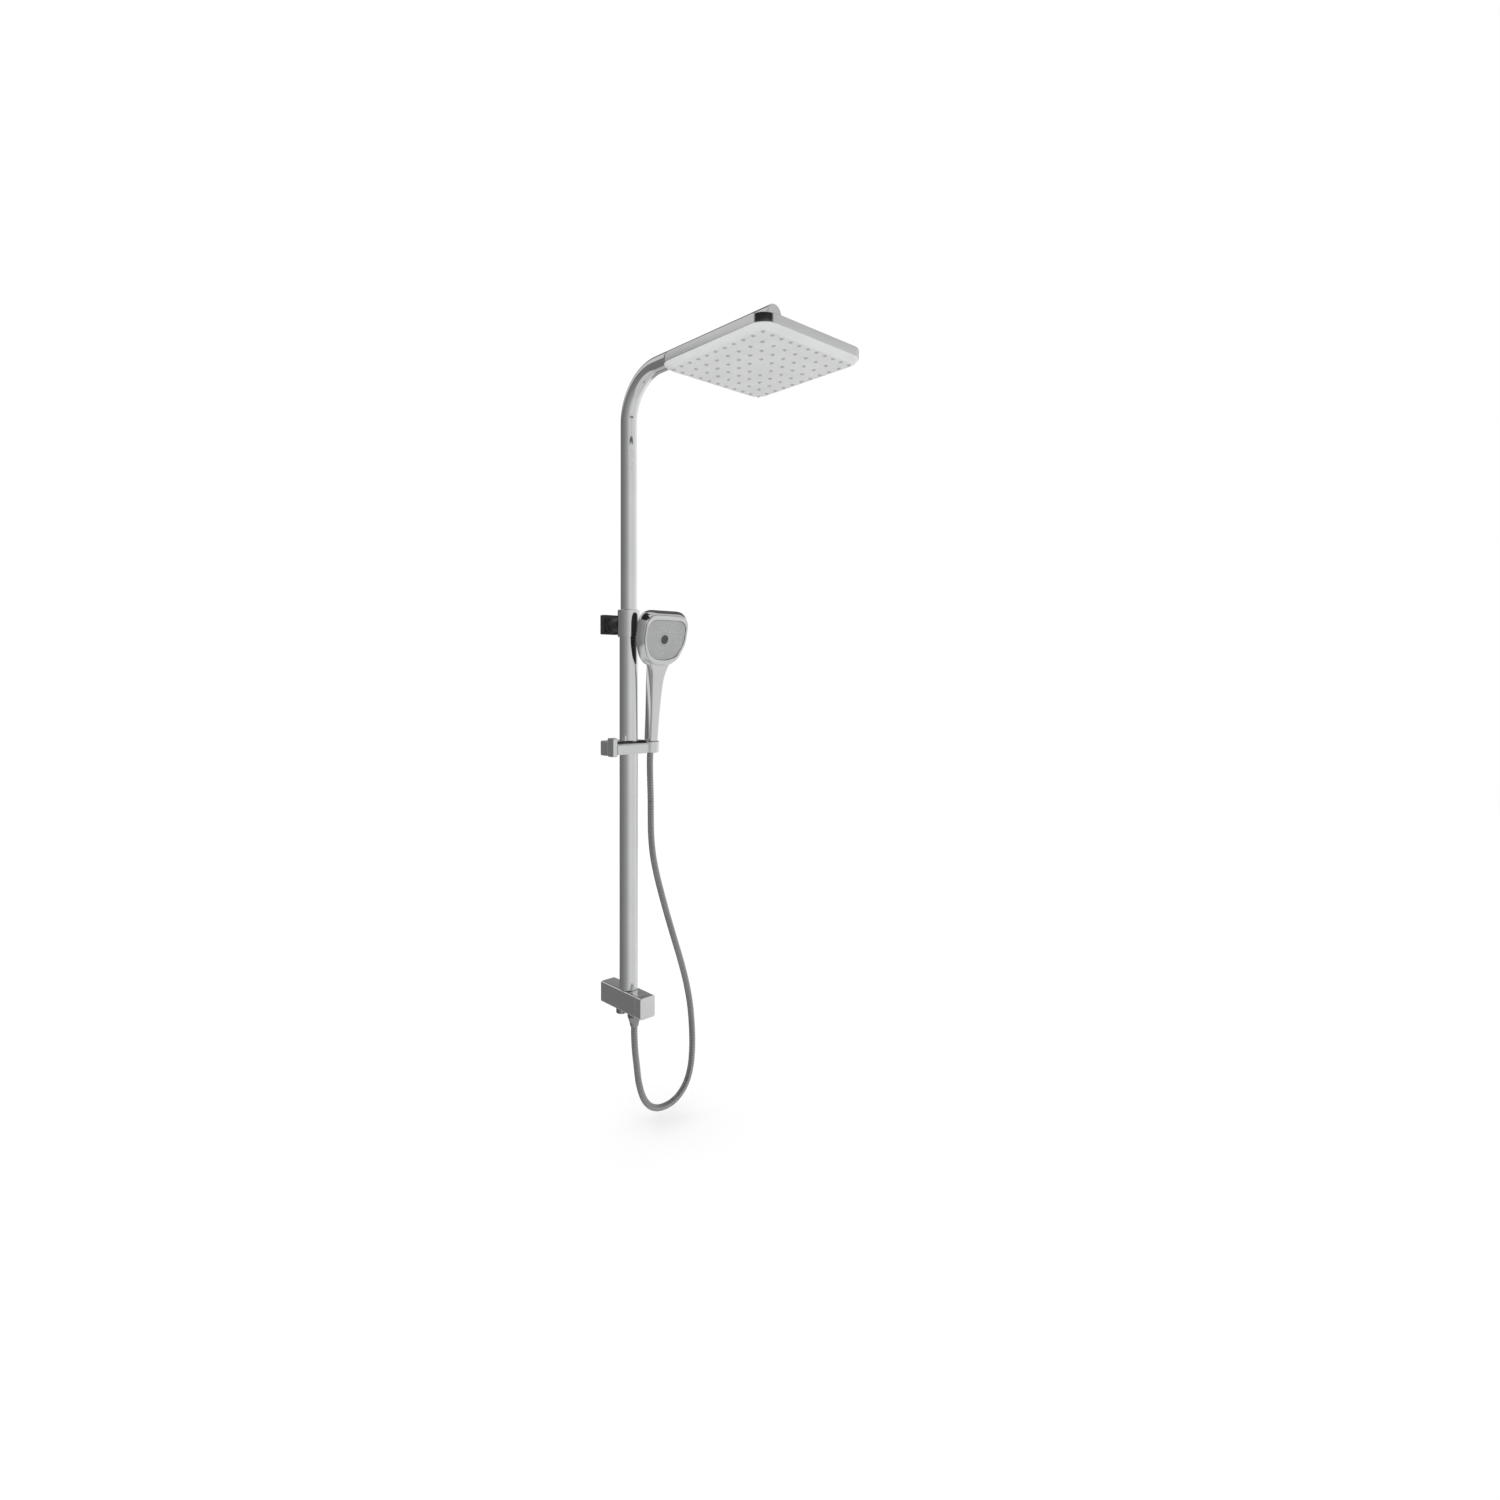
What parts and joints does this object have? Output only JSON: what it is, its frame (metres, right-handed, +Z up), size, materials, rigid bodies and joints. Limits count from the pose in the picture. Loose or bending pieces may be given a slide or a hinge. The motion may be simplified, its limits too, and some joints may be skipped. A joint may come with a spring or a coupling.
{
  "type": "rainfall shower column",
  "caption": "Wall-mounted rainfall shower column: diverter, telescopic riser, square overhead head on a ball joint, handset on a sliding holder, and metal hose.",
  "frame": {"origin": "centre of the diverter body's flat back face, on the wall", "axes": "+Z up along the column, +Y into the wall, -Y out into the room, +X to the handset's side"},
  "size_m": [0.2672, 0.517, 1.3947],
  "materials": {
    "chrome": "mirror-bright chrome plate on brass and steel",
    "chromed_plastic": "chrome-plated plastic, mirror bright",
    "white_plastic": "white moulded plastic",
    "pale_plastic": "pale grey satin plastic",
    "grey_plastic": "mid grey satin plastic",
    "dark_plastic": "dark grey plastic",
    "pale_silicone": "grey silicone",
    "black_rubber": "black rubber",
    "brass": "plain machined brass",
    "steel": "plain steel",
    "hose_metal": "interlocked metal hose, chrome plated"
  },
  "bodies": {
    "column": {"diverter_body": "chrome", "diverter_cartridge": "white_plastic", "bonnet_nut": "brass", "inlet_union": "chrome", "inlet_filter_washer": "black_rubber", "hose_outlet_nipple": "brass", "check_valve": "white_plastic", "lower_hose_washer": "black_rubber", "lower_hose_nut": "chrome", "lower_tube": "chrome", "column_spigot": "brass", "spigot_seal": "black_rubber", "column_collar": "chrome", "riser_guide_bush": "white_plastic", "height_lock_screw": "steel", "wall_bracket": "dark_plastic", "wall_plate": "steel", "bracket_lock_screw": "steel", "bracket_bolt": "steel", "hose": "hose_metal"},
    "diverter_handle": {"diverter_knob": "chrome", "diverter_spindle": "brass", "knob_grub_screw": "steel"},
    "riser_foot": {"riser_gland": "white_plastic", "gland_seal": "black_rubber"},
    "riser": {"riser_tube": "chrome", "arm_end_cap": "chrome", "arm_outlet": "chrome", "ball_stud": "chrome"},
    "head_swivel": {"ball_liner": "grey_plastic"},
    "rain_head": {"head_top_shell": "chromed_plastic", "ball_seat": "white_plastic", "swivel_nut": "chrome", "head_spray_plate": "pale_plastic", "head_nozzle_mat": "pale_silicone", "head_inner_plate": "white_plastic", "flow_restrictor": "brass"},
    "slider": {"slider_body": "chromed_plastic", "slider_bush": "white_plastic", "friction_pad": "black_rubber", "holder_pin": "steel", "hose_upper": "hose_metal"},
    "slider_lock": {"lock_lever": "chromed_plastic", "lock_screw": "steel"},
    "holder": {"holder_ring": "chromed_plastic", "hose_neck": "hose_metal"},
    "handset": {"handset_shell": "chromed_plastic", "handset_trim": "chromed_plastic", "handset_spray_plate": "grey_plastic", "handset_nozzle_mat": "pale_silicone", "mode_button_spring": "steel", "handset_washer": "black_rubber", "upper_hose_nut": "chrome"},
    "mode_key": {"mode_button": "dark_plastic"}
  },
  "joints": [
    {"name": "riser_height", "type": "slide", "parent": "column", "child": "riser_foot", "axis": [0, 0, 1], "range_m": [-0.1, 0.15]},
    {"name": "arm_swivel", "type": "hinge", "parent": "riser_foot", "child": "riser", "pos_m": [0, -0.065, 1], "axis": [0, 0, 1], "range_deg": [-45, 45]},
    {"name": "head_pitch", "type": "hinge", "parent": "riser", "child": "head_swivel", "pos_m": [0, -0.402, 1.117], "axis": [1, 0, 0], "range_deg": [-12, 12]},
    {"name": "head_roll", "type": "hinge", "parent": "head_swivel", "child": "rain_head", "pos_m": [0, -0.402, 1.117], "axis": [0, 1, 0], "range_deg": [-12, 12]},
    {"name": "slider_height", "type": "slide", "parent": "column", "child": "slider", "axis": [0, 0, 1], "range_m": [-0.25, 0.18], "deforming": ["hose"]},
    {"name": "slider_lock_turn", "type": "hinge", "parent": "slider", "child": "slider_lock", "pos_m": [-0.048, -0.065, 0.4685], "axis": [1, 0, 0], "range_deg": [0, 60]},
    {"name": "holder_tilt", "type": "hinge", "parent": "slider", "child": "holder", "pos_m": [0.042, -0.078, 0.4685], "axis": [1, 0, 0], "range_deg": [-2, 18], "deforming": ["hose_upper"]},
    {"name": "handset_lift", "type": "slide", "parent": "holder", "child": "handset", "axis": [0, -0.0872, 0.9962], "range_m": [0, 0.06], "deforming": ["hose_neck"]},
    {"name": "mode_button_press", "type": "slide", "parent": "handset", "child": "mode_key", "axis": [0, 0.9744, 0.225], "range_m": [0, 0.0018], "stiffness_N_per_m": 800, "springref_m": -0.001, "deforming": ["mode_button_spring"]},
    {"name": "diverter_turn", "type": "hinge", "parent": "column", "child": "diverter_handle", "pos_m": [0, -0.1, 0], "axis": [0, 1, 0], "range_deg": [0, 90]}
  ]
}
